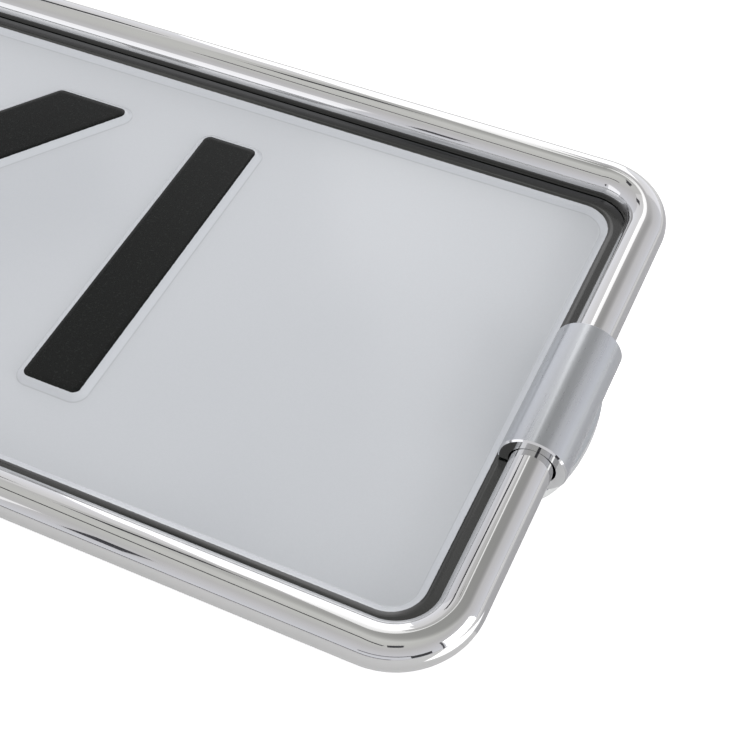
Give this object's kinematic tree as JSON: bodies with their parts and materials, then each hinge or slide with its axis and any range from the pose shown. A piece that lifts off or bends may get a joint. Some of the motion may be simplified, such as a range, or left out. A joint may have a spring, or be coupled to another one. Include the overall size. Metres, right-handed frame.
{
  "type": "number plate holder",
  "caption": "Polished round-bar frame for a long vehicle number plate, bent in halves joined by slotted clamp sleeves on oval screw-on feet, with an embossed plate in its groove.",
  "frame": {"origin": "middle of the holder, on the plane of the feet's back faces", "axes": "+X along the plate, +Y up the plate, +Z out of the plate's face"},
  "size_m": [0.536, 0.1214, 0.0146],
  "materials": {
    "polished_bar": "mirror polished",
    "drawn_sleeve": "fine satin along its length, polished ends",
    "turned_foot": "polished edge, turned back",
    "screw_steel": "plain bright",
    "coated_plate": "semi-gloss white coat, black on the raised faces"
  },
  "bodies": {
    "root": {"upper_rail": "polished_bar", "lower_rail": "polished_bar", "left_sleeve": "drawn_sleeve", "right_sleeve": "drawn_sleeve", "left_foot": "turned_foot", "right_foot": "turned_foot", "clamp_screws": "screw_steel", "number_plate": "coated_plate"}
  },
  "joints": []
}
